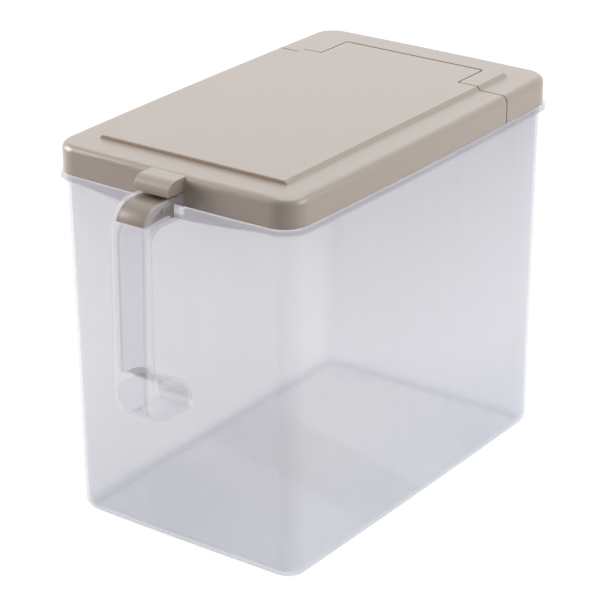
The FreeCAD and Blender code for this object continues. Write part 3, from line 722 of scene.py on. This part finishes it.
@dataclass
class ThumbLever:
    """The rocking insert in the handle's top: a bent strip, two side plates and two trunnions."""

    name: str = "thumb_lever_moulding"
    node: str = "thumb_lever"
    slot: str = "greige_lever"
    body: str = "lever"
    finish: Finish = Finish.LEVER
    wall: float = 0.0020
    pin_length: float = 0.0016
    pin_radius: float = 0.0020
    pin_chamfer: float = 0.0003
    pin_steps: int = 32
    brow_setback: float = 0.0039
    brow_radius: float = 0.0158
    brow_steps: int = 24
    edge_radius: float = 0.00085
    edge_steps: int = 5
    lip_drop: float = 0.0109
    pivot: tuple[float, float] = (-0.168, 0.243)
    web_depth: float = 0.0045
    heel_drop: float = 0.0117
    heel_rear: float = -0.15725
    heel_length: float = 0.0035
    sharp_angle: float = 35.0

    def strip_line(self, low: Vector, high: Vector) -> list[Vector]:
        """The middle line of the bent strip, from its rear end to its front edge.

        Args:
            low: Lowest corner of the piece.
            high: Highest corner of the piece.

        Returns:
            Its three points.
        """
        half = self.wall / 2
        lip = Vector((0.0, low.y, high.z - self.lip_drop))
        brow = Vector((0.0, low.y + self.brow_setback, high.z))
        along = (lip - brow).normalized()
        inward = Vector((0.0, -along.z, along.y)) * half
        shift = (high.z - half - (brow + inward).z) / along.z
        foot = (lip.z - (lip + inward).z) / along.z
        return [
            Vector((0.0, high.y, high.z - half)),
            brow + inward + along * shift,
            lip + inward + along * foot,
        ]

    def strip(
        self, line: Sequence[Vector], width: float, finish: bpy.types.Material
    ) -> bpy.types.Mesh:
        """Sweeps a rounded bar along the strip's line.

        Args:
            line: The strip's middle line.
            width: The strip's width.
            finish: Its finish.

        Returns:
            The strip's mesh.
        """
        base = bpy.data.meshes.new("thumb_lever_line")
        base.from_pydata([tuple(point) for point in line], [(0, 1), (1, 2)], [])
        board = ShapeBoard("bent_strip")
        board.given("Width", width)
        board.given("Wall", self.wall)
        board.given("Brow Radius", self.brow_radius - self.wall / 2)
        board.given("Edge Radius", self.edge_radius)
        board.given("Brow Steps", self.brow_steps, "NodeSocketInt")
        board.given("Edge Steps", self.edge_steps, "NodeSocketInt")
        board.given("Finish", finish, "NodeSocketMaterial")
        given = {socket.name: Wire(board, socket) for socket in board.start().outputs}
        line_curve = board.out("GeometryNodeMeshToCurve", inputs={0: given["Geometry"]})
        bent = board.out("GeometryNodeFilletCurve", {"mode": "POLY"}, {
            "Curve": line_curve,
            "Count": given["Brow Steps"],
            "Radius": given["Brow Radius"],
        })
        upright = board.out("GeometryNodeSetCurveNormal", {"mode": "Z_UP"}, {0: bent})
        bar = board.out("GeometryNodeCurvePrimitiveQuadrilateral", {"mode": "RECTANGLE"}, {
            "Width": given["Width"], "Height": given["Wall"],
        })
        profile = board.out("GeometryNodeFilletCurve", {"mode": "POLY"}, {
            "Curve": bar, "Count": given["Edge Steps"], "Radius": given["Edge Radius"],
        })
        swept = board.out("GeometryNodeCurveToMesh", inputs={
            "Curve": upright, "Profile Curve": profile, "Fill Caps": True,
        })
        board.end(swept, given["Finish"])
        return board.run(base, "thumb_lever_strip")

    def side_outline(self, line: Sequence[Vector], low: Vector, high: Vector) -> list[Vector]:
        """Outline of a side plate, which ends inside the strip.

        Args:
            line: The strip's middle line.
            low: Lowest corner of the piece; not used.
            high: Highest corner of the piece.

        Returns:
            Its corners, with the bend of the brow.
        """
        radius = self.brow_radius - self.wall / 2
        back = (line[0] - line[1]).normalized()
        down = (line[2] - line[1]).normalized()
        turn = math.pi - back.angle(down)
        reach = radius * math.tan(turn / 2)
        middle = line[1] + back * reach - Vector((0.0, 0.0, radius))
        bend = []
        for step in range(self.brow_steps + 1):
            angle = turn * step / self.brow_steps
            bend.append(middle + Vector((0.0, -math.sin(angle), math.cos(angle))) * radius)
        web_low = self.pivot[1] - self.web_depth
        heel_low = high.z - self.heel_drop
        heel_front = self.heel_rear - self.heel_length
        foot = [
            (line[2].y, line[2].z),
            (self.pivot[0] - self.web_depth, web_low),
            (heel_front, web_low),
            (heel_front, heel_low),
            (self.heel_rear, heel_low),
            (self.heel_rear, self.pivot[1] + self.wall / 2),
            (high.y - self.wall / 2, high.z - self.wall),
        ]
        tip = Vector((0.0, high.y - self.wall / 2, line[0].z))
        return [tip, *bend, *(Vector((0.0, along, up)) for along, up in foot)]

    def add_plate(
        self, shape: bmesh.types.BMesh, outline: Sequence[Vector], inner: float, outer: float
    ) -> None:
        """Adds one side plate.

        Args:
            shape: The mesh under construction.
            outline: The plate's outline.
            inner: Where its inner face is, from left to right.
            outer: Where its outer face is.
        """
        join_rings(shape, [
            add_ring(shape, [Vector((place, point.y, point.z)) for point in outline])
            for place in (inner, outer)
        ])

    def add_pin(self, shape: bmesh.types.BMesh, root: float, tip: float) -> None:
        """Adds one trunnion with a chamfered end.

        Args:
            shape: The mesh under construction.
            root: Where it starts inside the side plate.
            tip: Where it ends.
        """
        side = 1.0 if tip > root else -1.0
        stations = (
            (root, self.pin_radius),
            (tip - side * self.pin_chamfer, self.pin_radius),
            (tip, self.pin_radius - self.pin_chamfer),
        )
        turns = [math.tau * step / self.pin_steps for step in range(self.pin_steps)]
        along, height = self.pivot
        join_rings(shape, [
            add_ring(shape, [
                Vector((place, along + radius * math.cos(turn), height + radius * math.sin(turn)))
                for turn in turns
            ])
            for place, radius in stations
        ])

    def build(self, nodes: Mapping[str, bpy.types.Object]) -> bpy.types.Object:
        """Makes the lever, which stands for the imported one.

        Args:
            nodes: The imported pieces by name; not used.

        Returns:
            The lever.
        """
        low, high = (Vector(corner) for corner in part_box(self.node))
        material = self.finish.value.make()
        half = high.x - self.pin_length
        line = self.strip_line(low, high)
        strip = self.strip(line, half * 2, material)
        shape = bmesh.new()
        outline = self.side_outline(line, low, high)
        for side in (-1.0, 1.0):
            self.add_plate(shape, outline, side * (half - self.wall), side * half)
            self.add_pin(shape, side * (half - self.wall / 2), side * high.x)
        bmesh.ops.recalc_face_normals(shape, faces=shape.faces)
        shape.from_mesh(strip)
        mesh = bpy.data.meshes.new(self.name)
        shape.to_mesh(mesh)
        shape.free()
        bpy.data.meshes.remove(strip)
        mesh.materials.clear()
        mesh.materials.append(material)
        mesh.polygons.foreach_set("use_smooth", [True] * len(mesh.polygons))
        mesh.set_sharp_from_angle(angle=math.radians(self.sharp_angle))
        lever = bpy.data.objects.new(self.name, mesh)
        bpy.context.scene.collection.objects.link(lever)
        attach(lever, self.body)
        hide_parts(self.node)
        return lever


@dataclass
class PhotoCamera:
    """Camera at the photograph's viewing angle."""

    position: tuple[float, float, float] = (0.87361, -1.20632, 0.77145)
    turn: float = 36.231
    downward: float = 23.551
    roll: float = -0.421
    lens: float = 144.72
    sensor: float = 36.0
    sight: float = 50.0

    def build(self) -> bpy.types.Object:
        """Makes the camera and gives it to the scene.

        Returns:
            The camera.
        """
        turn = math.radians(self.turn)
        down = math.radians(self.downward)
        roll = math.radians(self.roll)
        forward = Vector((
            -math.sin(turn) * math.cos(down),
            math.cos(turn) * math.cos(down),
            -math.sin(down),
        ))
        level = Vector((math.cos(turn), math.sin(turn), 0.0))
        upward = level.cross(forward)
        right = level * math.cos(roll) + upward * math.sin(roll)
        above = upward * math.cos(roll) - level * math.sin(roll)
        data = bpy.data.cameras.new("photo_camera")
        data.lens = self.lens
        data.sensor_width = self.sensor
        data.clip_end = self.sight
        camera = bpy.data.objects.new("photo_camera", data)
        turned = Matrix((right, above, -forward)).transposed().to_4x4()
        camera.matrix_world = Matrix.Translation(self.position) @ turned
        bpy.context.scene.collection.objects.link(camera)
        bpy.context.scene.camera = camera
        return camera


@dataclass
class SoftLamp:
    """One rectangular studio lamp that looks at a point."""

    name: str
    position: tuple[float, float, float]
    width: float
    height: float
    power: float
    colour: Colour = (1.0, 1.0, 1.0)
    target: tuple[float, float, float] = (0.0, 0.0, 0.13)

    def build(self) -> bpy.types.Object:
        """Makes the lamp.

        Returns:
            The lamp.
        """
        data = bpy.data.lights.new(self.name, "AREA")
        data.shape = "RECTANGLE"
        data.size = self.width
        data.size_y = self.height
        data.energy = self.power
        data.color = self.colour
        lamp = bpy.data.objects.new(self.name, data)
        aim = Vector(self.target) - Vector(self.position)
        turned = aim.to_track_quat("-Z", "Y").to_matrix().to_4x4()
        lamp.matrix_world = Matrix.Translation(self.position) @ turned
        bpy.context.scene.collection.objects.link(lamp)
        return lamp


@dataclass
class Studio:
    """Pale floor, white surroundings and soft lamps."""

    floor_half: float = 6.0
    floor_colour: Colour = (0.50, 0.50, 0.51)
    floor_roughness: float = 0.9
    floor_lift: float = 0.72
    near_floor: float = 0.7
    far_floor: float = 2.2
    ambient: float = 0.14
    lamps: tuple[SoftLamp, ...] = field(default_factory=lambda: (
        SoftLamp(
            "overhead_lamp", (0.1, 0.35, 1.7),
            width=1.5, height=1.5, power=17.0, colour=(0.89, 1.01, 1.15),
        ),
        SoftLamp("rear_lamp", (-1.1, 1.5, 1.05), width=1.6, height=1.0, power=1.0),
        SoftLamp(
            "left_lamp", (-1.5, -0.7, 0.8),
            width=0.9, height=1.1, power=23.0, colour=(1.02, 0.99, 0.94),
        ),
        SoftLamp(
            "right_lamp", (1.8, 0.5, 0.7),
            width=1.4, height=1.2, power=18.5, colour=(1.02, 0.99, 0.95),
        ),
    ))

    def seen(self, board: ShaderBoard) -> Wire:
        """Tells the rays that show something from those that light it.

        Args:
            board: The board of the floor or of the surroundings.

        Returns:
            1 for rays of the camera, of gloss and through clear plastic, 0 for others.
        """
        node = board.node("ShaderNodeLightPath")
        rays = [Wire(board, node.outputs[name]) for name in (
            "Is Camera Ray", "Is Glossy Ray", "Is Transmission Ray",
        )]
        return rays[0].most(rays[1]).most(rays[2])

    def build_floor(self) -> bpy.types.Object:
        """Makes the floor, which looks white and keeps the object's shadow.

        Returns:
            The floor.
        """
        half = self.floor_half
        mesh = bpy.data.meshes.new("studio_floor")
        corners = [(-half, -half, 0.0), (half, -half, 0.0), (half, half, 0.0), (-half, half, 0.0)]
        mesh.from_pydata(corners, [], [(0, 1, 2, 3)])
        floor = bpy.data.objects.new("studio_floor", mesh)
        bpy.context.scene.collection.objects.link(floor)
        board = ShaderBoard(bpy.data.materials.new("pale_floor"))
        across, along, _ = board.split(board.place())
        distance = (across * across + along * along) ** 0.5
        far = distance.fade(self.near_floor, self.far_floor)
        full = 1.0 / self.floor_lift
        shader = board.node("ShaderNodeBsdfPrincipled", inputs={
            "Base Color": (*self.floor_colour, 1.0),
            "Roughness": self.floor_roughness,
            "Specular IOR Level": 0.0,
            "Emission Color": board.mix(far, (1.0, 1.0, 1.0), (full, full, full)),
            "Emission Strength": self.seen(board) * self.floor_lift,
        })
        mesh.materials.append(board.finish(shader))
        return floor

    def build_world(self) -> None:
        """Makes the surroundings: white where they are seen, softer as light."""
        world = bpy.data.worlds.new("studio_world")
        bpy.context.scene.world = world
        board = ShaderBoard(world)
        background = board.node("ShaderNodeBackground", inputs={
            "Color": (1.0, 1.0, 1.0, 1.0),
            "Strength": self.seen(board) * (1.0 - self.ambient) + self.ambient,
        })
        board.finish(background, "ShaderNodeOutputWorld")

    def build(self) -> None:
        """Makes the floor, the surroundings and the lamps."""
        self.build_floor()
        self.build_world()
        for lamp in self.lamps:
            lamp.build()


def main() -> None:
    """Dresses the container and sets up the studio."""
    logging.basicConfig(level=logging.INFO, format="%(name)s: %(message)s")
    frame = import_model()
    nodes = frame["nodes"]
    bpy.context.scene.view_settings.view_transform = "Standard"
    for part in (Container(), RearCover(), FrontFlap(), ThumbLever()):
        piece = part.build(nodes)
        LOG.info("%s: %d faces", piece.name, len(piece.data.polygons))
    PhotoCamera().build()
    Studio().build()


if __name__ == "__main__":
    main()
